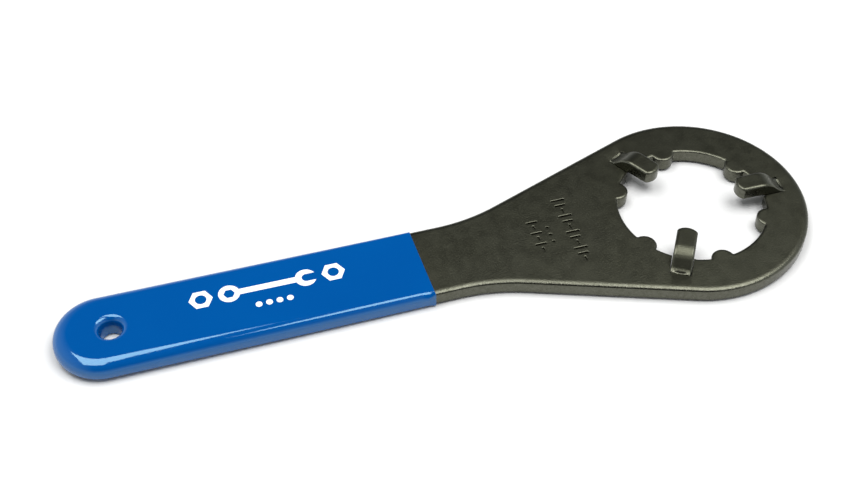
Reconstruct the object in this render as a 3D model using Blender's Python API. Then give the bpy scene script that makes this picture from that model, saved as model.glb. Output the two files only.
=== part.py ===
"""Bottom bracket wrench: a one-piece steel ring spanner with a dipped vinyl grip.

The wrench body is one blank of steel sheet. Six round lobes inside its ring drop into
the six notches of a bottom bracket cup. Three fingers, slit free from the same sheet and
joggled up, lie over the cup's face and stop the ring at its depth. The vinyl coat covers
the handle like a sock: it is open at the collar and lines the hanging hole.

Metres, +Z up, +X from the handle to the ring. The origin is under the middle of the
wrench, on the surface that it lies on. Outlines are drawn about the ring's centre.
"""

import math

import bmesh
import bpy
from mathutils import Matrix, Vector

# Steel sheet and its outline
SHEET = 0.00418
RING_WALL = 0.01275  # round hole to the ring's outside
NECK_ANGLE = math.radians(19.9)  # of the straight flanks, to the wrench's axis
NECK_RADIUS = 0.0575
HANDLE_REACH = 0.1973  # ring centre to the end of the steel
HANDLE_END_RADIUS = 0.0135
HANDLE_TAPER = math.radians(0.18)  # each edge closes in this much towards the ring

# Socket for the cup
CUP_RADIUS = 0.0230
CUP_CLEARANCE = 0.0003
LOBES = 6
LOBE_RADIUS = 0.00365
LOBE_HEIGHT = 0.0031

# Fingers
FINGERS = 3
FINGER_WIDTH = 0.0063
FINGER_REACH = 0.0087  # over the cup, from the round hole's edge
FINGER_TIP_ROUND = 0.0043
FINGER_SETBACK = 0.0071  # from the hole's edge back to where a finger starts to rise
STOP_HEIGHT = 0.00022  # a finger's underside over the sheet's upper face
RAMP_ANGLE = math.radians(45)
ROOT_BEND = 0.0030  # radius of the hollow of the lower bend, on the upper side
CROWN_BEND = 0.0055  # radius of the crown of the upper bend, on the upper side
SLIT = 0.00045
SLIT_PAST_ROOT = 0.0008

# Vinyl coat
COAT_WALL = 0.0006
COAT_GAP = 0.0002
COAT_ROUND = 0.0015
COAT_LEAST_CORNER = 0.00015  # wall left where the round passes the steel's corner
GRIP_LENGTH = 0.1091  # collar to the end of the steel
HANG_HOLE_RADIUS = 0.0044  # in the steel
HANG_HOLE_INSET = 0.0160  # from the end of the steel

# Facets
COARSE_STEP = math.radians(5)
FINE_STEP = math.radians(14)
BEND_CUTS = 5
COAT_ROUND_STEPS = 2
WELD = 1e-7

COAT = COAT_WALL + COAT_GAP
HOLE_RADIUS = CUP_RADIUS + CUP_CLEARANCE
RING_RADIUS = HOLE_RADIUS + RING_WALL
LOBE_TIP = HOLE_RADIUS - LOBE_HEIGHT
FINGER_TIP = HOLE_RADIUS - FINGER_REACH
FINGER_ROOT = HOLE_RADIUS + FINGER_SETBACK
FINGER_RISE = SHEET + STOP_HEIGHT
RING_X = (HANDLE_REACH + COAT - RING_RADIUS) / 2
MIDDLE_Z = COAT + SHEET / 2
HANG_HOLE_X = HANG_HOLE_INSET - HANDLE_REACH
COLLAR_X = GRIP_LENGTH - HANDLE_REACH


def polar(radius, angle):
    return Vector((radius * math.cos(angle), radius * math.sin(angle)))


def arc(centre, radius, start, end, step):
    """Points along an arc, with both ends."""
    count = max(1, math.ceil(abs(end - start) / step))
    angles = [start + (end - start) * k / count for k in range(count + 1)]
    return [centre + polar(radius, angle) for angle in angles]


def turned(points, angle):
    return [Matrix.Rotation(angle, 2) @ point for point in points]


def neck_centre(flank, edge, end_centre):
    """Centre of the neck's arc, which touches the ring's flank and the handle's edge."""
    rows = Matrix((flank, edge))
    reach = Vector((RING_RADIUS, edge.dot(end_centre) + HANDLE_END_RADIUS))
    return rows.inverted() @ (reach + Vector((NECK_RADIUS, NECK_RADIUS)))


def wrench_outline(offset):
    """The steel's outline, grown by offset, counter-clockwise from the ring's far side."""
    centre = Vector((0, 0))
    flank_angle = math.pi / 2 + NECK_ANGLE
    edge_angle = math.pi / 2 - HANDLE_TAPER
    end_centre = Vector((HANDLE_END_RADIUS - HANDLE_REACH, 0))
    neck = neck_centre(polar(1, flank_angle), polar(1, edge_angle), end_centre)
    half = arc(centre, RING_RADIUS + offset, 0, flank_angle, COARSE_STEP)
    half += arc(neck, NECK_RADIUS - offset, flank_angle - math.pi, edge_angle - math.pi, COARSE_STEP)
    half += arc(end_centre, HANDLE_END_RADIUS + offset, edge_angle, math.pi, COARSE_STEP)
    mirrored = [Vector((point.x, -point.y)) for point in reversed(half[1:-1])]
    return half + mirrored


def circle(centre_x, radius):
    """A closed round outline, clockwise, for a hole."""
    return arc(Vector((centre_x, 0)), radius, 0, -2 * math.pi, FINE_STEP)[:-1]


def lobe_outline(angle):
    """The arc of one lobe between its two meetings with the round hole."""
    reach = LOBE_TIP + LOBE_RADIUS
    side = (HOLE_RADIUS**2 - reach**2 - LOBE_RADIUS**2) / (2 * reach * LOBE_RADIUS)
    half_turn = math.pi - math.acos(side)
    points = arc(Vector((reach, 0)), LOBE_RADIUS, math.pi + half_turn, math.pi - half_turn, FINE_STEP)
    return turned(points, angle)


def joggle():
    """The two bends' mid-plane radii, the ramp's length, and the plan length it takes."""
    lower = ROOT_BEND + SHEET / 2
    upper = CROWN_BEND - SHEET / 2
    ramp = (FINGER_RISE - (lower + upper) * (1 - math.cos(RAMP_ANGLE))) / math.sin(RAMP_ANGLE)
    run = (lower + upper) * math.sin(RAMP_ANGLE) + ramp * math.cos(RAMP_ANGLE)
    return lower, upper, ramp, run


def flat_tip():
    """Where a finger's end lies before it is formed, when the sheet is still flat."""
    lower, upper, ramp, run = joggle()
    return FINGER_TIP - ((lower + upper) * RAMP_ANGLE + ramp - run)


def finger_outline(angle):
    """One flat finger between its two slits, from the hole's edge and back to it."""
    half = FINGER_WIDTH / 2
    slit_side = half + SLIT
    slit_end = FINGER_ROOT + SLIT_PAST_ROOT
    mouth = math.sqrt(HOLE_RADIUS**2 - slit_side**2)
    tip_angle = math.asin(half / FINGER_TIP_ROUND)
    tip_centre = Vector((flat_tip() + FINGER_TIP_ROUND, 0))
    tip = arc(tip_centre, FINGER_TIP_ROUND, math.pi + tip_angle, math.pi - tip_angle, FINE_STEP)
    lower = [Vector((mouth, -slit_side)), Vector((slit_end, -slit_side)), Vector((slit_end, -half))]
    upper = [Vector((point.x, -point.y)) for point in reversed(lower)]
    return turned(lower + tip + upper, angle)


def socket_outline():
    """The hole with its lobes and fingers, counter-clockwise."""
    features = [(2 * math.pi * k / FINGERS, finger_outline) for k in range(FINGERS)]
    features += [(2 * math.pi * (k + 0.5) / LOBES, lobe_outline) for k in range(LOBES)]
    drawn = [feature(angle) for angle, feature in sorted(features, key=lambda item: item[0])]
    outline = []
    for points, following in zip(drawn, drawn[1:] + drawn[:1]):
        start = math.atan2(points[-1].y, points[-1].x)
        end = start + (math.atan2(following[0].y, following[0].x) - start) % (2 * math.pi)
        outline += points + arc(Vector((0, 0)), HOLE_RADIUS, start, end, COARSE_STEP)[1:-1]
    return outline


def plate(name, outlines, half_thickness, edge_round=0.0):
    """A flat solid mesh of closed outlines. Its edges are rounded outwards by edge_round."""
    curve = bpy.data.curves.new(name, "CURVE")
    curve.dimensions = "2D"
    curve.fill_mode = "BOTH"
    curve.extrude = half_thickness - edge_round
    curve.bevel_depth = edge_round
    curve.bevel_resolution = COAT_ROUND_STEPS
    for outline in outlines:
        spline = curve.splines.new("POLY")
        spline.points.add(len(outline) - 1)
        for point, place in zip(spline.points, outline):
            point.co = (place.x, place.y, 0, 1)
        spline.use_cyclic_u = True
    helper = bpy.data.objects.new(name, curve)
    bpy.context.scene.collection.objects.link(helper)
    evaluated = helper.evaluated_get(bpy.context.evaluated_depsgraph_get())
    mesh = bpy.data.meshes.new_from_object(evaluated)
    bpy.data.objects.remove(helper)
    weld(mesh)
    return mesh


def weld(mesh):
    """Joins the loose caps of a filled curve to its sides."""
    bm = bmesh.new()
    bm.from_mesh(mesh)
    bmesh.ops.remove_doubles(bm, verts=bm.verts, dist=WELD)
    bmesh.ops.recalc_face_normals(bm, faces=bm.faces)
    bm.to_mesh(mesh)
    bm.free()


def bend_stations():
    """Distances from the root, along the sheet, of the cuts that let a finger bend."""
    lower, upper, ramp, _ = joggle()
    lower_bend = [lower * RAMP_ANGLE * k / BEND_CUTS for k in range(BEND_CUTS + 1)]
    ramp_end = lower_bend[-1] + ramp
    upper_bend = [ramp_end + upper * RAMP_ANGLE * k / BEND_CUTS for k in range(BEND_CUTS + 1)]
    return lower_bend + upper_bend


def bent(distance, height):
    """Radius and height of a point that lies on the flat finger at distance from its root."""
    lower, upper, ramp, run = joggle()
    lower_end = lower * RAMP_ANGLE
    upper_start = lower_end + ramp
    if distance < lower_end:
        tilt = distance / lower
        back, up = lower * math.sin(tilt), lower * (1 - math.cos(tilt))
    elif distance < upper_start:
        tilt = RAMP_ANGLE
        back = lower * math.sin(tilt) + (distance - lower_end) * math.cos(tilt)
        up = lower * (1 - math.cos(tilt)) + (distance - lower_end) * math.sin(tilt)
    else:
        tilt = max(0.0, RAMP_ANGLE - (distance - upper_start) / upper)
        level = max(0.0, distance - upper_start - upper * RAMP_ANGLE)
        back = run - upper * math.sin(tilt) + level
        up = FINGER_RISE - upper * (1 - math.cos(tilt))
    return FINGER_ROOT - back + height * math.sin(tilt), up + height * math.cos(tilt)


def form_finger(bm, angle):
    """Cuts one finger across at its bends and joggles it up."""
    turn = Matrix.Rotation(angle, 3, "Z")
    along = turn @ Vector((1, 0, 0))
    across = turn @ Vector((0, 1, 0))

    def in_finger(vert):
        return abs(vert.co.dot(across)) < FINGER_WIDTH / 2 + WELD and (
            0 < vert.co.dot(along) < FINGER_ROOT + WELD
        )

    for index, distance in enumerate(bend_stations()):
        faces = [face for face in bm.faces if index == 0 or all(map(in_finger, face.verts))]
        edges = {edge for face in faces for edge in face.edges}
        verts = {vert for face in faces for vert in face.verts}
        bmesh.ops.bisect_plane(
            bm,
            geom=[*verts, *edges, *faces],
            dist=WELD,
            plane_co=along * (FINGER_ROOT - distance),
            plane_no=along,
        )
    for vert in filter(in_finger, bm.verts):
        radius, height = bent(FINGER_ROOT - vert.co.dot(along), vert.co.z)
        side = vert.co.dot(across)
        vert.co = along * radius + across * side + Vector((0, 0, height))


def form_fingers(mesh):
    bm = bmesh.new()
    bm.from_mesh(mesh)
    for k in range(FINGERS):
        form_finger(bm, 2 * math.pi * k / FINGERS)
    bmesh.ops.triangulate(bm, faces=bm.faces)
    bm.to_mesh(mesh)
    bm.free()


def box(name, low, high):
    """A box mesh between two corners."""
    mesh = bpy.data.meshes.new(name)
    bm = bmesh.new()
    bmesh.ops.create_cube(bm, size=1)
    bmesh.ops.scale(bm, vec=high - low, verts=bm.verts)
    bmesh.ops.translate(bm, vec=(low + high) / 2, verts=bm.verts)
    bm.to_mesh(mesh)
    bm.free()
    return mesh


def material(name, colour, metallic, roughness):
    made = bpy.data.materials.new(name)
    made.use_nodes = True
    shader = made.node_tree.nodes["Principled BSDF"]
    shader.inputs["Base Color"].default_value = (*colour, 1)
    shader.inputs["Metallic"].default_value = metallic
    shader.inputs["Roughness"].default_value = roughness
    return made


def place(name, mesh, collection):
    """An object whose mesh is drawn about the ring's centre, in the sheet's mid-plane."""
    made = bpy.data.objects.new(name, mesh)
    made.location = (RING_X, 0, MIDDLE_Z)
    collection.objects.link(made)
    return made


def cut(target, name, mesh, collection):
    cutter = place(name, mesh, collection)
    cutter.hide_render = True
    cutter.display_type = "WIRE"
    boolean = target.modifiers.new(name, "BOOLEAN")
    boolean.operation = "DIFFERENCE"
    boolean.solver = "EXACT"
    boolean.object = cutter


def make_wrench_body(parts):
    outlines = [wrench_outline(0), socket_outline(), circle(HANG_HOLE_X, HANG_HOLE_RADIUS)]
    mesh = plate("wrench_body", outlines, SHEET / 2)
    form_fingers(mesh)
    mesh.shade_smooth()
    mesh.set_sharp_from_angle(angle=math.radians(30))
    mesh.materials.append(material("black_oxide_steel", (0.065, 0.066, 0.050), 0.9, 0.42))
    place("wrench_body", mesh, parts)


def make_vinyl_grip(parts, cutters):
    """The coat is the grown wrench, less the steel's own space, cut off at the collar."""
    most_round = (math.sqrt(2) * COAT_WALL - COAT_LEAST_CORNER) / (math.sqrt(2) - 1)
    edge_round = min(COAT_ROUND, most_round)
    rim = HANG_HOLE_RADIUS - COAT + edge_round
    skin = [wrench_outline(COAT - edge_round), circle(HANG_HOLE_X, rim)]
    mesh = plate("vinyl_grip", skin, SHEET / 2 + COAT, edge_round)
    mesh.shade_smooth()
    mesh.set_sharp_from_angle(angle=math.radians(40))
    mesh.materials.append(material("blue_vinyl", (0.0, 0.098, 0.397), 0.0, 0.12))
    grip = place("vinyl_grip", mesh, parts)
    beyond = RING_RADIUS + COAT
    low = Vector((COLLAR_X, -2 * beyond, -2 * (SHEET + COAT)))
    high = Vector((2 * beyond, 2 * beyond, 2 * (SHEET + COAT)))
    cut(grip, "collar_cut", box("collar_cut", low, high), cutters)
    steel = [wrench_outline(COAT_GAP), circle(HANG_HOLE_X, HANG_HOLE_RADIUS - COAT_GAP)]
    cut(grip, "steel_space", plate("steel_space", steel, SHEET / 2 + COAT_GAP), cutters)


def clear_scene():
    for obj in list(bpy.data.objects):
        bpy.data.objects.remove(obj)


def main():
    clear_scene()
    parts = bpy.data.collections.new("bottom_bracket_wrench")
    cutters = bpy.data.collections.new("cutters")
    for collection in (parts, cutters):
        bpy.context.scene.collection.children.link(collection)
    make_wrench_body(parts)
    make_vinyl_grip(parts, cutters)


main()
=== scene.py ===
import math

import bmesh
import bpy
from mathutils import Matrix, Vector
from mathutils.geometry import delaunay_2d_cdt


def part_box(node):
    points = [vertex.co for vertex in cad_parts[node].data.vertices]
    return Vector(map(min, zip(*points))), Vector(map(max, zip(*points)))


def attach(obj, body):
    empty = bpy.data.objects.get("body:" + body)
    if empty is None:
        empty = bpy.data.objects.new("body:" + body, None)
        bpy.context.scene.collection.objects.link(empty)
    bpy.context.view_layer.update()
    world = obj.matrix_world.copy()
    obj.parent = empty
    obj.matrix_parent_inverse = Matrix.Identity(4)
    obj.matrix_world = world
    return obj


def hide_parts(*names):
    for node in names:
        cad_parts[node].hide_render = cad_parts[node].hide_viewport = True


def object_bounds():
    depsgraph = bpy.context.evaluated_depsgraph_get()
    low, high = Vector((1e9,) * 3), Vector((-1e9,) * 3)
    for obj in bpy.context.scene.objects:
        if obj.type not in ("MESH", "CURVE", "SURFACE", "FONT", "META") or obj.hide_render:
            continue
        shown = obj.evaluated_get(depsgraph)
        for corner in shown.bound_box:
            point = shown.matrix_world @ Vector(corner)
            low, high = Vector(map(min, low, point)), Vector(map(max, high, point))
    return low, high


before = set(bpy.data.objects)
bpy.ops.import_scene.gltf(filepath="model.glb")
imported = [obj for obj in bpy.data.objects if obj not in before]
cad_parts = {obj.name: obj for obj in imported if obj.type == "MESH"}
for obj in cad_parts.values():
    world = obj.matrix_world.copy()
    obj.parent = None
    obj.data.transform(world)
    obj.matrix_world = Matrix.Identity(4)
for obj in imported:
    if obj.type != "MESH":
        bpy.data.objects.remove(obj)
cad_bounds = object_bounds()

# The wrench's own sizes, in metres. Outlines are drawn about the ring's centre, with the
# sheet's upper face at height 0, and moved to the CAD's place at the end.
SHEET = 0.00418
HOLE_RADIUS = 0.0233
RING_RADIUS = HOLE_RADIUS + 0.01275
NECK_ANGLE = math.radians(19.9)
NECK_RADIUS = 0.0575
HANDLE_REACH = 0.1973
HANDLE_END_RADIUS = 0.0135
HANDLE_TAPER = math.radians(0.18)

LOBES = 6
LOBE_RADIUS = 0.00365
LOBE_TIP = HOLE_RADIUS - 0.0031
LOBE_FILLET = 0.0005

FINGERS = 3
FINGER_HALF = 0.00315  # half of a finger's width
FINGER_TIP = HOLE_RADIUS - 0.0087
FINGER_TIP_ROUND = 0.0043
FINGER_CORNER = 0.0012
FINGER_ROOT = HOLE_RADIUS + 0.0071
FINGER_RISE = SHEET + 0.00022
RAMP_ANGLE = math.radians(45)
ROOT_BEND = 0.0028  # the upper face's radii at a finger's two bends
CROWN_BEND = 0.0065
SLIT = 0.00014  # the gap beside a finger's root
DIMPLE_DEPTH = 0.0004  # the punch's mark at a finger's root
DIMPLE_HALF_WIDTH = 0.0019
DIMPLE_HALF_LENGTH = 0.0008
ROOT_SHEEN_REACH = 0.0022  # how far the painted highlight at a finger's root runs along the finger
# Painted highlight: how much bare-steel colour a finger's root gets, in place of the smear its bend
# reflects
ROOT_SHEEN = 0.7

# Each roll is the width and depth that the die draws an edge down by.
BLANK_ROLL = (0.0018, 0.0009)
SOCKET_ROLL = (0.0009, 0.0005)
FINGER_ROLL = (0.0009, 0.0007)
SLIT_ROLL = (0.00008, 0.00008)
FULLY_WORN_ROLL = 0.0005  # a shallower roll shows less bare steel
BURR = 0.00008
FLAT_MARGIN = 0.0002  # a flat strip beside a roll, which keeps the faces' shading flat

STAMP_STROKE = 0.00036  # half of a mark's width
STAMP_DEPTH = 0.0007
STAMP_PITCH = 0.0023
LONG_ROW = (-0.0400, 0.0130, 12)  # x, first y and how many bars
LONG_ROW_BARS = (0.0019, 0.0014)  # half-lengths, before each crossing bar
SHORT_ROW = (-0.0510, 0.0062, 6)
SHORT_ROW_BARS = (0.0015,)
CROSSING_BAR = 0.0006
STAMP_DOT_ROW_X = -0.0470
STAMP_DOT_PITCH = 0.0030
STAMP_DOT_RADIUS = 0.0005
STAMP_POCKET = (  # inset, height and wear, from the plate down to a mark's floor
    (0.00025, 0.0, 0.0),
    (0.00006, 0.0, 0.2),
    (-0.00002, -0.00005, 0.6),
    (-0.00006, -0.00030, 0.1),
    (-0.00010, -STAMP_DEPTH, 0.0),
)

COAT = 0.0008  # the coat's thickness at the handle's end
LIP_COAT = 0.00055  # and at its lip
CROWN = 0.0016  # the coat's upper face over the steel's, at the handle's end
COAT_GAP = 0.00004  # between the coat and the steel
GRIP_LENGTH = 0.1091
COLLAR_X = GRIP_LENGTH - HANDLE_REACH
HANG_HOLE_X = 0.0160 - HANDLE_REACH
HANG_HOLE_RADIUS = 0.0044
SHOULDER_TILT = math.radians(31)  # where the coat's shoulder arc meets its flank arc
SHOULDER = (0.0012, 0.0055)  # radii at the lip and at the handle's end
SHOULDER_GROWTH = 0.75  # the power of the share along the grip that the radius follows
FLANK = (0.0024, 0.0032)
FOOT_WIDTH = (0.0012, 0.0040)
FOOT_HEIGHT = (0.0012, 0.0024)
FOOT_GROWTH = 2  # the same for the foot
LIP_ROUND = 0.00025
LIP_SKEW = 0.0006  # the dip line isn't quite square to the handle
RIM_ROLL = 0.0016  # the radius round the hanging hole's rim
HOLE_DRAFT = 0.0010  # the coat thickens towards the hole's lower end

INK = 0.00003  # the print's thickness above the coat
PRINT_CENTRE = Vector((-0.1345, 0.0032))
SPANNER_REACH = 0.0115  # from the print's centre to each end's centre
SPANNER_RADIUS = 0.0032
SPANNER_HALF_SHANK = 0.00105
SPANNER_HALF_JAW = 0.0014
JAW_SEAT = 0.0002
NUT_REACH = 0.0199
NUT_RADIUS = 0.0036
NUT_HOLE_RADIUS = 0.0017
DOTS = 4
DOT_RADIUS = 0.0010
DOT_SIDES = 24
DOT_PITCH = 0.0031
DOT_SHIFT = 0.0008
DOT_DROP = 0.0063

# How finely shapes are drawn.
FINE = math.radians(2)
LOBE_STEP = math.radians(5)
STAMP_STEP = LOBE_STEP * 6
NEARLY_STRAIGHT = 0.02  # the sine of a turn that counts as part of a smooth curve
ROLL_STEPS = 8
BEND_STRIPS = 46
BEND_STRIP = 0.00025
HALF_FINGER_STRIPS = 6
COAT_STEPS = 18
TINY = 1e-6
HAIR = TINY * 100  # the coat's flat strip beside a rounded edge
MM = 1000  # the triangulation works in millimetres

# Edges that turn by more than this are shaded sharp.
SHARP_STEEL = math.radians(38)
SHARP_COAT = math.radians(50)
SHARP_PLAIN = math.radians(30)

steel_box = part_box("wrench_body")
RING_CENTRE = Vector((steel_box[1].x - RING_RADIUS, 0, steel_box[0].z + SHEET))


# ---- outlines ----

def polar(radius, angle):
    return Vector((radius * math.cos(angle), radius * math.sin(angle)))


def arc(centre, radius, start, end, step=FINE):
    count = max(1, math.ceil(abs(end - start) / step))
    angles = [start + (end - start) * k / count for k in range(count + 1)]
    return [centre + polar(radius, angle) for angle in angles]


def turned(points, angle):
    return [Matrix.Rotation(angle, 2) @ point for point in points]


def mirrored(points):
    return [Vector((point.x, -point.y)) for point in reversed(points)]


def line(start, end, spacing=0.002):
    count = max(1, round((end - start).length / spacing))
    return [start.lerp(end, k / count) for k in range(count + 1)]


def joined(*runs):
    """Runs of points end to end, each shared end kept once."""
    points = []
    for run in runs:
        points += [p for p in run if not points or (p - points[-1]).length > TINY]
    return points


def half_wrench(offset=0.0):
    """The wrench's outline from the ring's far side round to the handle's end."""
    flank_angle = math.pi / 2 + NECK_ANGLE
    edge_angle = math.pi / 2 - HANDLE_TAPER
    flank, edge = polar(1, flank_angle), polar(1, edge_angle)
    end_centre = Vector((HANDLE_END_RADIUS - HANDLE_REACH, 0))
    reach = Vector((RING_RADIUS, edge.dot(end_centre) + HANDLE_END_RADIUS))
    neck = Matrix((flank, edge)).inverted() @ (reach + Vector((NECK_RADIUS, NECK_RADIUS)))
    ring = arc(Vector((0, 0)), RING_RADIUS + offset, 0, flank_angle)
    hollow = arc(neck, NECK_RADIUS - offset, flank_angle - math.pi, edge_angle - math.pi)
    end = arc(end_centre, HANDLE_END_RADIUS + offset, edge_angle, math.pi)
    return joined(ring, line(ring[-1], hollow[0]), hollow, line(hollow[-1], end[0]), end)


def wrench_outline(offset=0.0):
    half = half_wrench(offset)
    return half + mirrored(half[1:-1])


def circle(centre, radius, step=FINE * 3):
    """A hole's outline, clockwise, so that the material is on its left."""
    return arc(centre, radius, 0, -2 * math.pi, step)[:-1]


def lobe_outline():
    """One lobe on +X, with a small fillet where it meets the round hole."""
    reach = LOBE_TIP + LOBE_RADIUS
    inner = HOLE_RADIUS - LOBE_FILLET
    outer = LOBE_RADIUS + LOBE_FILLET
    turn = math.acos((inner**2 + reach**2 - outer**2) / (2 * inner * reach))
    fillet_centre = polar(inner, -turn)
    to_lobe = Vector((reach, 0)) - fillet_centre
    lobe_side = math.atan2(to_lobe.y, to_lobe.x)
    fillet = arc(fillet_centre, LOBE_FILLET, -turn, lobe_side, LOBE_STEP * 2)
    crown = arc(Vector((reach, 0)), LOBE_RADIUS, lobe_side + math.pi, math.pi, LOBE_STEP)
    half = joined(fillet, crown)
    return half + mirrored(half[:-1])


def joggle():
    """The two bends' mid-plane radii, the ramp's length, and the plan length it takes."""
    lower = ROOT_BEND + SHEET / 2
    upper = CROWN_BEND - SHEET / 2
    ramp = (FINGER_RISE - (lower + upper) * (1 - math.cos(RAMP_ANGLE))) / math.sin(RAMP_ANGLE)
    run = (lower + upper) * math.sin(RAMP_ANGLE) + ramp * math.cos(RAMP_ANGLE)
    return lower, upper, ramp, run


def finger_runs():
    """One flat finger on +X between its slits, as (points, roll) runs."""
    lower, upper, ramp, run = joggle()
    flat_tip = FINGER_TIP - ((lower + upper) * RAMP_ANGLE + ramp - run)
    side = FINGER_HALF + SLIT
    mouth = Vector((math.sqrt(HOLE_RADIUS**2 - side**2), -side))
    root_corner = Vector((FINGER_ROOT, -FINGER_HALF))
    slit = [mouth, Vector((FINGER_ROOT, -side)), root_corner]
    tip_centre = Vector((flat_tip + FINGER_TIP_ROUND, 0))
    inner_round = FINGER_TIP_ROUND - FINGER_CORNER
    turn = math.pi + math.asin((FINGER_HALF - FINGER_CORNER) / inner_round)
    corner_centre = tip_centre + polar(inner_round, turn)
    corner = arc(corner_centre, FINGER_CORNER, math.pi * 1.5, turn, LOBE_STEP * 2)
    tip = arc(tip_centre, FINGER_TIP_ROUND, turn, 2 * math.pi - turn, LOBE_STEP)
    edge = [root_corner] + corner
    blade = joined(edge, tip, mirrored(edge))
    return [(slit, SLIT_ROLL), (blade, FINGER_ROLL), (mirrored(slit), SLIT_ROLL)]


def socket_outline():
    """The round hole with its lobes and flat fingers, clockwise, as (point, roll) pairs."""
    lobe = [(lobe_outline(), SOCKET_ROLL)]
    features = [(2 * math.pi * k / FINGERS, finger_runs()) for k in range(FINGERS)]
    features += [(2 * math.pi * (k + 0.5) / LOBES, lobe) for k in range(LOBES)]
    features.sort(key=lambda feature: feature[0])
    drawn = [[(turned(points, angle), roll) for points, roll in runs] for angle, runs in features]
    runs = []
    for feature, following in zip(drawn, drawn[1:] + drawn[:1]):
        last, first = feature[-1][0][-1], following[0][0][0]
        start = math.atan2(last.y, last.x)
        gap = (math.atan2(first.y, first.x) - start) % (2 * math.pi)
        runs += feature + [(arc(Vector((0, 0)), HOLE_RADIUS, start, start + gap), SOCKET_ROLL)]
    return [(point, roll) for points, roll in reversed(runs) for point in points[:0:-1]]


# ---- solids from outlines ----

def offset_outline(points, distances):
    """The closed outline moved to its left by one distance for each edge that starts at a point."""
    moved = []
    for i, point in enumerate(points):
        before = (point - points[i - 1]).normalized()
        after = (points[(i + 1) % len(points)] - point).normalized()
        left_before = Vector((-before.y, before.x))
        left_after = Vector((-after.y, after.x))
        reach = Vector((distances[i - 1], distances[i]))
        if abs(before.cross(after)) < NEARLY_STRAIGHT:
            moved.append(point + (left_before + left_after).normalized() * (reach.x + reach.y) / 2)
        else:
            moved.append(point + Matrix((left_before, left_after)).inverted() @ reach)
    return moved


def edge_profile(roll, top, bottom):
    """(inset, height, wear) from the flat upper face down to the flat lower face."""
    width, depth = roll
    worn_and_sheen = min(1.0, depth / FULLY_WORN_ROLL)
    profile = [(width + FLAT_MARGIN, top, 0.0)]
    for k in range(ROLL_STEPS + 1):
        angle = math.pi / 2 * k / ROLL_STEPS
        inset = width * (1 - math.sin(angle))
        profile.append((inset, top - depth * (1 - math.cos(angle)), worn_and_sheen * math.sin(angle)))
    profile.append((0.0, bottom + BURR, worn_and_sheen))
    profile.append((BURR, bottom, 0.0))
    profile.append((BURR + FLAT_MARGIN, bottom, 0.0))
    return profile


def empty_mesh():
    """A mesh under construction, with a layer for how worn each vertex is, which at the fingers'
    roots also holds a painted highlight.
    """
    bm = bmesh.new()
    bm.verts.layers.float.new("wear_and_sheen")
    return bm


def add_wall(bm, points, profiles):
    """Rings of vertices down a closed outline's edge, joined by quads. Returns its two rims."""
    wear_and_sheen = bm.verts.layers.float["wear_and_sheen"]
    rings = []
    for level in range(len(profiles[0])):
        insets = [profile[level][0] for profile in profiles]
        places = offset_outline(points, insets)
        ring = []
        for place, profile in zip(places, profiles):
            vert = bm.verts.new((place.x, place.y, profile[level][1]))
            vert[wear_and_sheen] = profile[level][2]
            ring.append(vert)
        rings.append(ring)
    for upper, lower in zip(rings, rings[1:]):
        for i in range(len(points)):
            bm.faces.new((upper[i - 1], upper[i], lower[i], lower[i - 1]))
    return rings[0], rings[-1]


def around(corners):
    """The sides of a closed run of corners, each as its two ends."""
    return list(zip(corners, corners[1:] + corners[:1]))


def fill(bm, rims):
    """Covers the flat area between rims with triangles. The area is on every rim's left."""
    verts = [vert for rim in rims for vert in rim]
    order = {vert: i for i, vert in enumerate(verts)}
    borders = {(order[a], order[b]) for rim in rims for a, b in around(rim)}
    flat = [vert.co.xy * MM for vert in verts]
    triangles = delaunay_2d_cdt(flat, list(borders), [], 0, TINY, True)[2]
    beside = {side: corners for corners in triangles for side in around(corners)}
    inside = {tuple(beside[border]) for border in borders}
    reached = list(inside)
    while reached:
        for a, b in set(around(reached.pop())) - borders:
            neighbour = tuple(beside[b, a])
            if neighbour not in inside:
                inside.add(neighbour)
                reached.append(neighbour)
    for corners in sorted(inside):
        bm.faces.new([verts[i] for i in corners])


def finish_mesh(bm, name, sharp_angle):
    bmesh.ops.recalc_face_normals(bm, faces=bm.faces)
    mesh = bpy.data.meshes.new(name)
    bm.to_mesh(mesh)
    bm.free()
    mesh.shade_smooth()
    mesh.set_sharp_from_angle(angle=sharp_angle)
    return mesh


def stand(name, mesh):
    """An object whose mesh, drawn about the ring's centre, is moved to the CAD's place."""
    mesh.transform(Matrix.Translation(RING_CENTRE))
    made = bpy.data.objects.new(name, mesh)
    bpy.context.scene.collection.objects.link(made)
    return made


# ---- the steel ----

def bent(distance, height):
    """Radius and height of a point at distance from the root along the flat finger."""
    lower, upper, ramp, run = joggle()
    height += SHEET / 2
    lower_end = lower * RAMP_ANGLE
    upper_start = lower_end + ramp
    if distance < lower_end:
        tilt = distance / lower
        back, up = lower * math.sin(tilt), lower * (1 - math.cos(tilt))
    elif distance < upper_start:
        tilt = RAMP_ANGLE
        back = lower * math.sin(tilt) + (distance - lower_end) * math.cos(tilt)
        up = lower * (1 - math.cos(tilt)) + (distance - lower_end) * math.sin(tilt)
    else:
        tilt = max(0.0, RAMP_ANGLE - (distance - upper_start) / upper)
        level = max(0.0, distance - upper_start - upper * RAMP_ANGLE)
        back = run - upper * math.sin(tilt) + level
        up = FINGER_RISE - upper * (1 - math.cos(tilt))
    radius = FINGER_ROOT - back + height * math.sin(tilt)
    return radius, up + height * math.cos(tilt) - SHEET / 2


def dimple(radius, side, height):
    """How far the punch sinks the upper face at a finger's root."""
    if height < -SHEET / 4:
        return 0.0
    across = side / DIMPLE_HALF_WIDTH
    along = (radius - FINGER_ROOT + DIMPLE_HALF_LENGTH) / DIMPLE_HALF_LENGTH
    return DIMPLE_DEPTH * math.exp(-(across**4) - along**2)


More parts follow.
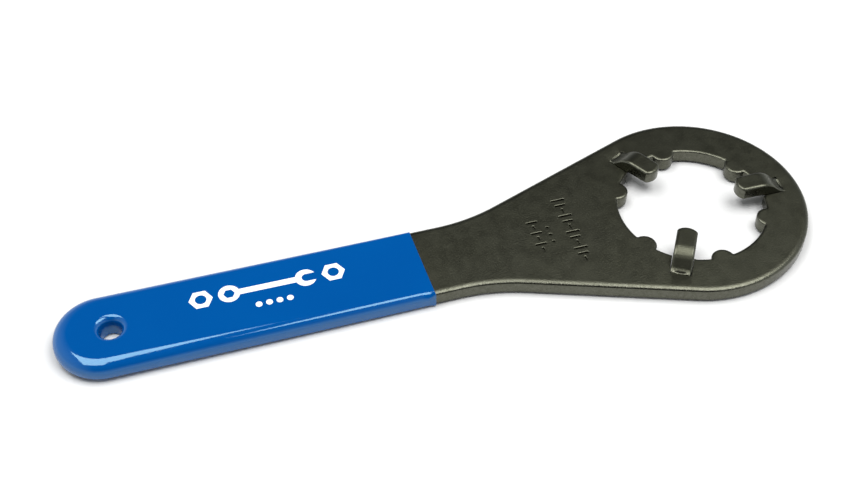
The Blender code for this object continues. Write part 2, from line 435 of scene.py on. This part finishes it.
def form_finger(bm, angle):
    """Cuts one flat finger into strips, joggles it up and paints a highlight at its root."""
    turn = Matrix.Rotation(angle, 3, "Z")
    along, across = turn @ Vector((1, 0, 0)), turn @ Vector((0, 1, 0))

    def in_strip(vert):
        return abs(vert.co.dot(across)) < FINGER_HALF + TINY and (
            0 < vert.co.dot(along) < FINGER_ROOT + TINY
        )

    def cut(place, normal, pick):
        faces = [face for face in bm.faces if pick(map(in_strip, face.verts))]
        edges = {edge for face in faces for edge in face.edges}
        verts = {vert for face in faces for vert in face.verts}
        bmesh.ops.bisect_plane(
            bm, geom=[*verts, *edges, *faces], dist=TINY, plane_co=place, plane_no=normal
        )

    cut(along * FINGER_ROOT, along, any)
    for k in range(BEND_STRIPS):
        cut(along * (FINGER_ROOT - BEND_STRIP * k), along, all)
    for k in range(1 - HALF_FINGER_STRIPS, HALF_FINGER_STRIPS):
        cut(across * (FINGER_HALF * k / HALF_FINGER_STRIPS), across, all)
    wear_and_sheen = bm.verts.layers.float["wear_and_sheen"]
    for vert in filter(in_strip, bm.verts):
        radius, side, height = vert.co.dot(along), vert.co.dot(across), vert.co.z
        # Painted highlight: bare-steel colour along the root's bend, standing in for the smear that
        # the bend reflects.
        root_sheen = 1 - abs(FINGER_ROOT - radius - ROOT_SHEEN_REACH / 3) / ROOT_SHEEN_REACH
        vert[wear_and_sheen] = max(vert[wear_and_sheen], ROOT_SHEEN * root_sheen)
        sink = dimple(radius, side, height)
        if radius < FINGER_ROOT:
            radius, height = bent(FINGER_ROOT - radius, height)
        vert.co = along * radius + across * side + Vector((0, 0, height - sink))


def bar(centre, half_length, angle):
    """A round-ended groove's outline, clockwise."""
    half = Vector((half_length, 0))
    right = arc(half, STAMP_STROKE, math.pi / 2, -math.pi / 2, STAMP_STEP)
    left = arc(-half, STAMP_STROKE, -math.pi / 2, -math.pi * 1.5, STAMP_STEP)
    return [centre + point for point in turned(joined(right, left), angle)]


def bar_row(row, half_lengths):
    """Bars side by side across the neck, with a crossing bar after each group."""
    x, first_y, count = row
    group = [(half_length, 0) for half_length in half_lengths] + [(CROSSING_BAR, math.pi / 2)]
    bars = []
    for k in range(count):
        half_length, lean = group[k % len(group)]
        bars.append(bar(Vector((x, first_y - STAMP_PITCH * k)), half_length, lean))
    return bars


def stamp_outlines():
    """Tally marks struck into the neck: a row of dots between two rows of bars."""
    marks = bar_row(LONG_ROW, LONG_ROW_BARS)
    for k in (-1, 0, 1):
        place = Vector((STAMP_DOT_ROW_X, STAMP_DOT_PITCH * k))
        marks.append(circle(place, STAMP_DOT_RADIUS, STAMP_STEP))
    return marks + bar_row(SHORT_ROW, SHORT_ROW_BARS)


def make_steel():
    """The blanked sheet: its walls, its two flat faces, the struck marks and the fingers."""
    bm = empty_mesh()
    rolls = (BLANK_ROLL, SOCKET_ROLL, FINGER_ROLL, SLIT_ROLL)
    profiles = {roll: edge_profile(roll, 0, -SHEET) for roll in rolls}
    outer = wrench_outline()
    upper, lower = add_wall(bm, outer, [profiles[BLANK_ROLL]] * len(outer))
    pairs = socket_outline()
    socket = add_wall(bm, [point for point, _ in pairs], [profiles[roll] for _, roll in pairs])
    hanging = circle(Vector((HANG_HOLE_X, 0)), HANG_HOLE_RADIUS)
    hang = add_wall(bm, hanging, [profiles[SOCKET_ROLL]] * len(hanging))
    rims = [upper, socket[0], hang[0]]
    fill(bm, [lower, socket[1], hang[1]])
    floors = []
    for outline in stamp_outlines():
        rim, floor = add_wall(bm, outline, [STAMP_POCKET] * len(outline))
        rims.append(rim)
        floors.append(floor)
    fill(bm, rims)
    for floor in floors:
        bm.faces.new(floor)
    for k in range(FINGERS):
        form_finger(bm, 2 * math.pi * k / FINGERS)
    steel = stand("blanked_steel_body", finish_mesh(bm, "blanked_steel_body", SHARP_STEEL))
    steel.data.materials.append(steel_material())
    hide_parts("wrench_body")
    return steel


# ---- the coat ----

def along_grip(point):
    """0 at the coat's lip, 1 at the handle's end."""
    return min(1.0, max(0.0, (COLLAR_X - point.x) / GRIP_LENGTH))


def between(ends, share):
    return ends[0] + (ends[1] - ends[0]) * share


def coat_faces(point):
    """The heights of the coat's upper and lower faces, two slightly sloping planes."""
    share = (COLLAR_X - point.x) / GRIP_LENGTH
    return between((LIP_COAT, CROWN), share), -SHEET - between((LIP_COAT, COAT), share)


def coat_profile(faces, shoulder, flank, foot):
    """(inset, height, wear) down the coat, unworn: shoulder arc, flank arc, elliptic foot."""
    top, bottom = faces
    turn = SHOULDER_TILT
    curve = []
    for k in range(COAT_STEPS + 1):
        tilt = math.pi / 2 * k / COAT_STEPS
        on_shoulder, on_flank = min(tilt, turn), max(tilt, turn)
        run = shoulder * math.sin(on_shoulder) + flank * (math.sin(on_flank) - math.sin(turn))
        drop = shoulder * (1 - math.cos(on_shoulder)) + flank * (math.cos(turn) - math.cos(on_flank))
        curve.append((run, drop))
    width = curve[-1][0]
    profile = [(width + HAIR, top, 0.0)]
    profile += [(width - run, top - drop, 0.0) for run, drop in curve]
    for k in range(COAT_STEPS // 2 + 1):
        angle = math.pi / 2 * k / (COAT_STEPS // 2)
        inset, lift = foot[0] * (1 - math.cos(angle)), foot[1] * (1 - math.sin(angle))
        profile.append((inset, bottom + lift, 0.0))
    profile.append((foot[0] + HAIR, bottom, 0.0))
    return profile


def drafted(profile):
    """The hole's side leaned inwards on its way down."""
    top, bottom = profile[0][1], profile[-1][1]
    return [(inset - HOLE_DRAFT * (top - z) / (top - bottom), z, wear_and_sheen) for inset, z, wear_and_sheen in profile]


def side_profile(point):
    """The coat's profile at a point of its outline, rounder towards the handle's end."""
    share = along_grip(point)
    shoulder = between(SHOULDER, share**SHOULDER_GROWTH)
    foot = [between(ends, share**FOOT_GROWTH) for ends in (FOOT_WIDTH, FOOT_HEIGHT)]
    return coat_profile(coat_faces(point), shoulder, between(FLANK, share), foot)


def grip_outline():
    """The coat's outline on the steel's: thin at its lip, thicker towards the handle's end."""
    half = [p for p in half_wrench() if p.x < COLLAR_X - TINY]
    slope = (half[1].y - half[0].y) / (half[1].x - half[0].x)
    corner = Vector((COLLAR_X, half[0].y + slope * (COLLAR_X - half[0].x)))
    half = joined(line(corner, half[0]), half)
    points = half + mirrored(half[:-1])
    points[-1].x += LIP_SKEW
    skins = [-between((LIP_COAT, COAT), along_grip(point)) for point in points]
    return offset_outline(points, skins[:-1] + [0.0])


def steel_space():
    """What the coat is hollowed by: the steel handle with its rolled edges, a hair larger."""
    bm = empty_mesh()
    top, bottom = COAT_GAP, -SHEET - COAT_GAP
    outer = wrench_outline(COAT_GAP)
    side = edge_profile(BLANK_ROLL, top, bottom)
    upper, lower = add_wall(bm, outer, [side] * len(outer))
    hanging = circle(Vector((HANG_HOLE_X, 0)), HANG_HOLE_RADIUS - COAT_GAP)
    rim = edge_profile(SOCKET_ROLL, top, bottom)
    hang = add_wall(bm, hanging, [rim] * len(hanging))
    fill(bm, [upper, hang[0]])
    fill(bm, [lower, hang[1]])
    return stand("steel_space", finish_mesh(bm, "steel_space", SHARP_PLAIN))


def apply_modifiers(obj):
    evaluated = obj.evaluated_get(bpy.context.evaluated_depsgraph_get())
    mesh = bpy.data.meshes.new_from_object(evaluated)
    obj.modifiers.clear()
    obj.data = mesh


def make_grip():
    """The dipped coat, drawn solid and then hollowed by the steel."""
    bm = empty_mesh()
    points = grip_outline()
    lip = coat_profile(coat_faces(points[0]), LIP_ROUND, LIP_ROUND, (LIP_ROUND, LIP_ROUND))
    sides = [side_profile(point) for point in points[:-1]] + [lip]
    upper, lower = add_wall(bm, points, sides)
    opening = circle(Vector((HANG_HOLE_X, 0)), HANG_HOLE_RADIUS - COAT, FINE * 2)
    foot = (RIM_ROLL / 2, RIM_ROLL / 2)
    rims = [drafted(coat_profile(coat_faces(p), RIM_ROLL, RIM_ROLL, foot)) for p in opening]
    hole = add_wall(bm, opening, rims)
    fill(bm, [upper, hole[0]])
    fill(bm, [lower, hole[1]])
    grip = stand("dipped_vinyl_grip", finish_mesh(bm, "dipped_vinyl_grip", SHARP_COAT))
    grip.data.materials.append(vinyl_material())
    space = steel_space()
    hollow = grip.modifiers.new("steel_space", "BOOLEAN")
    hollow.operation = "DIFFERENCE"
    hollow.solver = "EXACT"
    hollow.object = space
    apply_modifiers(grip)
    bpy.data.objects.remove(space)
    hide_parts("vinyl_grip")
    return grip


# ---- the print ----

def regular(centre, radius, sides):
    """A regular polygon, anticlockwise."""
    return [centre + polar(radius, 2 * math.pi * k / sides) for k in range(sides)]


def drawn_spanner(left, right):
    """A plain spanner's silhouette lying along X: ring end left, open end right."""
    shank = math.asin(SPANNER_HALF_SHANK / SPANNER_RADIUS)
    jaw = math.asin(SPANNER_HALF_JAW / SPANNER_RADIUS)
    seat = right + Vector((JAW_SEAT, 0))
    ring_end = arc(left, SPANNER_RADIUS, shank, 2 * math.pi - shank, LOBE_STEP * 2)
    lower = arc(right, SPANNER_RADIUS, math.pi + shank, 2 * math.pi - jaw, LOBE_STEP * 2)
    mouth = arc(seat, SPANNER_HALF_JAW, 1.5 * math.pi, 0.5 * math.pi, LOBE_STEP * 3)
    upper = arc(right, SPANNER_RADIUS, jaw, math.pi - shank, LOBE_STEP * 2)
    hole = regular(left, NUT_HOLE_RADIUS, 6)[::-1]
    return [joined(ring_end, lower, mouth, upper), hole]


def drawn_nut(centre):
    return [regular(centre, NUT_RADIUS, 6), circle(centre, NUT_HOLE_RADIUS)]


def make_print():
    """The white print on the grip: a plain spanner between two nuts, over a row of dots."""
    drawings = [drawn_nut(PRINT_CENTRE + Vector((x, 0))) for x in (-NUT_REACH, NUT_REACH)]
    reach = Vector((SPANNER_REACH, 0))
    drawings.append(drawn_spanner(PRINT_CENTRE - reach, PRINT_CENTRE + reach))
    for k in range(DOTS):
        place = Vector((DOT_SHIFT + DOT_PITCH * (k - (DOTS - 1) / 2), -DOT_DROP))
        drawings.append([regular(PRINT_CENTRE + place, DOT_RADIUS, DOT_SIDES)])
    bm = empty_mesh()
    for outlines in drawings:
        rims = []
        for outline in outlines:
            heights = [coat_faces(point)[0] for point in outline]
            walls = [[(0.0, z + INK, 0.0), (0.0, z - INK / 2, 0.0)] for z in heights]
            rims.append(add_wall(bm, outline, walls))
        fill(bm, [rim[0] for rim in rims])
        fill(bm, [rim[1] for rim in rims])
    ink = stand("grip_print", finish_mesh(bm, "grip_print", SHARP_PLAIN))
    ink.data.materials.append(ink_material())
    return ink


# ---- materials ----

OXIDE = ((0.069, 0.0705, 0.050), (0.076, 0.0775, 0.057))
SPECK = (0.16, 0.16, 0.14)
# Bare steel's colour, for worn edges and for the painted highlight at the fingers' roots.
BARE_STEEL_AND_SHEEN = (0.15, 0.15, 0.125)
VINYL = ((0.0, 0.066, 0.268), (0.0, 0.071, 0.280))
VINYL_GLINT = (0.55, 0.93, 1.0, 1)
WHITE_INK = ((0.80, 0.81, 0.82), (0.88, 0.88, 0.88))
PAPER = (0.70, 0.70, 0.695, 1)
GRAIN_HEIGHT = 0.00002
PEEL_HEIGHT = 0.00001


def new_material(name):
    made = bpy.data.materials.new(name)
    made.use_nodes = True
    tree = made.node_tree
    return made, tree, tree.nodes["Principled BSDF"]


def ranged(tree, value, span, reach):
    """A value mapped from one range to another."""
    node = tree.nodes.new("ShaderNodeMapRange")
    for socket, number in zip(node.inputs[1:5], (*span, *reach)):
        socket.default_value = number
    tree.links.new(value, node.inputs["Value"])
    return node.outputs["Result"]


def noise(tree, scale, detail, low, high, span=(0.35, 0.65)):
    """Object-space noise of about scale patches a metre, mapped to a range."""
    where = tree.nodes.new("ShaderNodeTexCoord")
    pattern = tree.nodes.new("ShaderNodeTexNoise")
    pattern.inputs["Scale"].default_value = scale
    pattern.inputs["Detail"].default_value = detail
    tree.links.new(where.outputs["Object"], pattern.inputs["Vector"])
    return ranged(tree, pattern.outputs["Fac"], span, (low, high))


def bump(tree, shader, height, distance):
    node = tree.nodes.new("ShaderNodeBump")
    node.inputs["Distance"].default_value = distance
    node.inputs["Strength"].default_value = 1.0
    tree.links.new(height, node.inputs["Height"])
    tree.links.new(node.outputs["Normal"], shader.inputs["Normal"])


def mixed(tree, factor, first, second):
    """A colour between two, each a plain colour or another node's output."""
    blend = tree.nodes.new("ShaderNodeMix")
    blend.data_type = "RGBA"
    for slot, colour in (("A", first), ("B", second)):
        if isinstance(colour, tuple):
            blend.inputs[slot].default_value = (*colour, 1)
        else:
            tree.links.new(colour, blend.inputs[slot])
    tree.links.new(factor, blend.inputs["Factor"])
    return blend.outputs["Result"]


def worked(tree, operation, first, second):
    """One math node on two values, each a plain number or another node's output."""
    node = tree.nodes.new("ShaderNodeMath")
    node.operation = operation
    for socket, value in zip(node.inputs, (first, second)):
        if isinstance(value, float):
            socket.default_value = value
        else:
            tree.links.new(value, socket)
    return node.outputs[0]


def steel_material():
    """Black oxide over sheet steel: mottled, grained, and burnished where edges are worn, with a
    painted highlight of bare-steel colour at the fingers' roots.
    """
    made, tree, shader = new_material("black_oxide_steel")
    shader.inputs["Metallic"].default_value = 1.0
    worn_and_sheen = tree.nodes.new("ShaderNodeAttribute")
    worn_and_sheen.attribute_name = "wear_and_sheen"
    patchy = noise(tree, 900, 4, 0.45, 1.0)
    wear_and_sheen = worked(tree, "MULTIPLY", worn_and_sheen.outputs["Fac"], patchy)
    cloud = noise(tree, 70, 8, 0, 1, (0.25, 0.75))
    oxide = mixed(tree, cloud, *OXIDE)
    speck = noise(tree, 2600, 2, 0, 1, (0.62, 0.80))
    dusted = mixed(tree, worked(tree, "MULTIPLY", speck, 0.35), oxide, SPECK)
    # Bare-steel colour where edges are worn, and a painted highlight at the fingers' roots.
    burnished_and_sheen = mixed(tree, worked(tree, "MULTIPLY", wear_and_sheen, 0.55), dusted, BARE_STEEL_AND_SHEEN)
    tree.links.new(burnished_and_sheen, shader.inputs["Base Color"])
    rough = noise(tree, 300, 5, 0.35, 0.40)
    polish = worked(tree, "MULTIPLY", wear_and_sheen, -0.16)
    tree.links.new(worked(tree, "ADD", rough, polish), shader.inputs["Roughness"])
    grain = worked(tree, "ADD", noise(tree, 1800, 3, 0, 1), noise(tree, 260, 4, 0, 0.2))
    bump(tree, shader, grain, GRAIN_HEIGHT)
    return made


def vinyl_material():
    """Glossy dipped vinyl with a faint orange peel and a few duller scuffs."""
    made, tree, shader = new_material("blue_dipped_vinyl")
    tone = noise(tree, 40, 3, 0, 1, (0.3, 0.7))
    tree.links.new(mixed(tree, tone, *VINYL), shader.inputs["Base Color"])
    tree.links.new(noise(tree, 500, 6, 0.05, 0.11, (0.45, 0.75)), shader.inputs["Roughness"])
    shader.inputs["IOR"].default_value = 1.5
    shader.inputs["Specular IOR Level"].default_value = 0.9
    shader.inputs["Specular Tint"].default_value = VINYL_GLINT
    peel = worked(tree, "ADD", noise(tree, 120, 1, 0, 1), noise(tree, 900, 3, 0, 0.15))
    bump(tree, shader, peel, PEEL_HEIGHT)
    return made


def ink_material():
    """White pad-printed ink, a little uneven."""
    made, tree, shader = new_material("white_ink")
    tone = noise(tree, 700, 4, 0, 1)
    tree.links.new(mixed(tree, tone, *WHITE_INK), shader.inputs["Base Color"])
    tree.links.new(noise(tree, 900, 3, 0.28, 0.42), shader.inputs["Roughness"])
    bump(tree, shader, noise(tree, 2400, 3, 0, 1), PEEL_HEIGHT)
    return made


# ---- the stage ----

FLOOR_RADIUS = 4
FLOOR_DROP = 0.0001  # how far the floor lies under the tool


def make_floor():
    bm = bmesh.new()
    bmesh.ops.create_circle(bm, cap_ends=True, segments=96, radius=FLOOR_RADIUS)
    mesh = bpy.data.meshes.new("floor")
    bm.to_mesh(mesh)
    bm.free()
    floor = bpy.data.objects.new("floor", mesh)
    floor.location.z = cad_bounds[0].z - FLOOR_DROP
    bpy.context.scene.collection.objects.link(floor)
    made, _, shader = new_material("white_paper")
    shader.inputs["Base Color"].default_value = PAPER
    shader.inputs["Roughness"].default_value = 0.9
    shader.inputs["Specular IOR Level"].default_value = 0.1
    mesh.materials.append(made)


LOOK_DOWN = math.radians(47.76)
LOOK_TURN = math.radians(16.92)
ROLL = math.radians(-0.41)
LENS_MM = 58.065
SENSOR_MM = 36.0
RING_ACROSS = 0.18420  # the ring's centre in the frame, as shares of its depth
RING_ABOVE = 0.03096
RING_DEPTH = 0.43804


def make_camera():
    """The camera stands so that the ring's centre is at its own place in the frame."""
    ahead = Vector((math.sin(LOOK_TURN), math.cos(LOOK_TURN), 0))
    right = Vector((math.cos(LOOK_TURN), -math.sin(LOOK_TURN), 0))
    forward = ahead * math.cos(LOOK_DOWN) - Vector((0, 0, math.sin(LOOK_DOWN)))
    up = right.cross(forward)
    level = Matrix((right, up, -forward)).transposed()
    axes = level @ Matrix.Rotation(-ROLL, 3, "Z")
    camera_data = bpy.data.cameras.new("camera")
    camera_data.sensor_width = SENSOR_MM
    camera_data.lens = LENS_MM
    camera_data.clip_start = 0.01
    camera = bpy.data.objects.new("camera", camera_data)
    place = RING_CENTRE - RING_DEPTH * (axes @ Vector((RING_ACROSS, RING_ABOVE, -1)))
    camera.matrix_world = Matrix.Translation(place) @ axes.to_4x4()
    bpy.context.scene.collection.objects.link(camera)
    bpy.context.scene.camera = camera


SOFTBOX_HEIGHT = 1.0
SOFTBOX_RADIANCE = 6.5
SOFTBOX_DEPTH = (-0.36, 0.44)
SOFTBOX_SPANS = {"softbox_left": (-0.62, -0.09), "softbox_right": (0.10, 0.75)}
SIDE_ROOM = 0.75  # the room's radiance to the left and right
DARK_ROOM = 0.02  # and straight ahead, behind and overhead
HORIZON_ROOM = 0.6  # and what is added near the horizon all round
SIDE_SPAN = (0.25, 0.85)  # from dark to fully lit, as a direction's sideways part
HORIZON_SPAN = (0.05, 0.40)  # from fully lit to dark, as a direction's upward part
ROOM_TINT = (0.95, 0.98, 1.0, 1)


def softbox(name, span):
    """A rectangular light that faces down, lined up with the camera."""
    width, depth = span[1] - span[0], SOFTBOX_DEPTH[1] - SOFTBOX_DEPTH[0]
    light = bpy.data.lights.new(name, "AREA")
    light.shape = "RECTANGLE"
    light.size, light.size_y = width, depth
    light.energy = SOFTBOX_RADIANCE * math.pi * width * depth
    lamp = bpy.data.objects.new(name, light)
    middle = Vector((sum(span) / 2, sum(SOFTBOX_DEPTH) / 2, SOFTBOX_HEIGHT))
    lamp.location = Matrix.Rotation(-LOOK_TURN, 3, "Z") @ middle
    lamp.rotation_euler.z = -LOOK_TURN
    bpy.context.scene.collection.objects.link(lamp)


def make_room():
    """A room lit from its sides and its horizon, dark between them, in front of a white backdrop."""
    world = bpy.data.worlds.new("room")
    bpy.context.scene.world = world
    world.use_nodes = True
    tree = world.node_tree
    where = tree.nodes.new("ShaderNodeTexCoord")
    sideways = tree.nodes.new("ShaderNodeVectorMath")
    sideways.operation = "DOT_PRODUCT"
    sideways.inputs[1].default_value = (math.cos(LOOK_TURN), -math.sin(LOOK_TURN), 0)
    tree.links.new(where.outputs["Generated"], sideways.inputs[0])
    to_side = worked(tree, "ABSOLUTE", sideways.outputs["Value"], 0.0)
    sides = ranged(tree, to_side, SIDE_SPAN, (DARK_ROOM, SIDE_ROOM))
    split = tree.nodes.new("ShaderNodeSeparateXYZ")
    tree.links.new(where.outputs["Generated"], split.inputs[0])
    horizon = ranged(tree, split.outputs["Z"], HORIZON_SPAN, (HORIZON_ROOM, 0.0))
    room = tree.nodes["Background"]
    room.inputs["Color"].default_value = ROOM_TINT
    tree.links.new(worked(tree, "ADD", sides, horizon), room.inputs["Strength"])
    backdrop = tree.nodes.new("ShaderNodeBackground")
    backdrop.inputs["Color"].default_value = (1, 1, 1, 1)
    path = tree.nodes.new("ShaderNodeLightPath")
    mix = tree.nodes.new("ShaderNodeMixShader")
    tree.links.new(path.outputs["Is Camera Ray"], mix.inputs[0])
    tree.links.new(room.outputs[0], mix.inputs[1])
    tree.links.new(backdrop.outputs[0], mix.inputs[2])
    tree.links.new(mix.outputs[0], tree.nodes["World Output"].inputs["Surface"])


bpy.context.scene.view_settings.view_transform = "Standard"
make_camera()
make_room()
for name, span in SOFTBOX_SPANS.items():
    softbox(name, span)
make_floor()
steel = make_steel()
grip = make_grip()
ink = make_print()
for piece in (steel, grip, ink):
    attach(piece, "root")
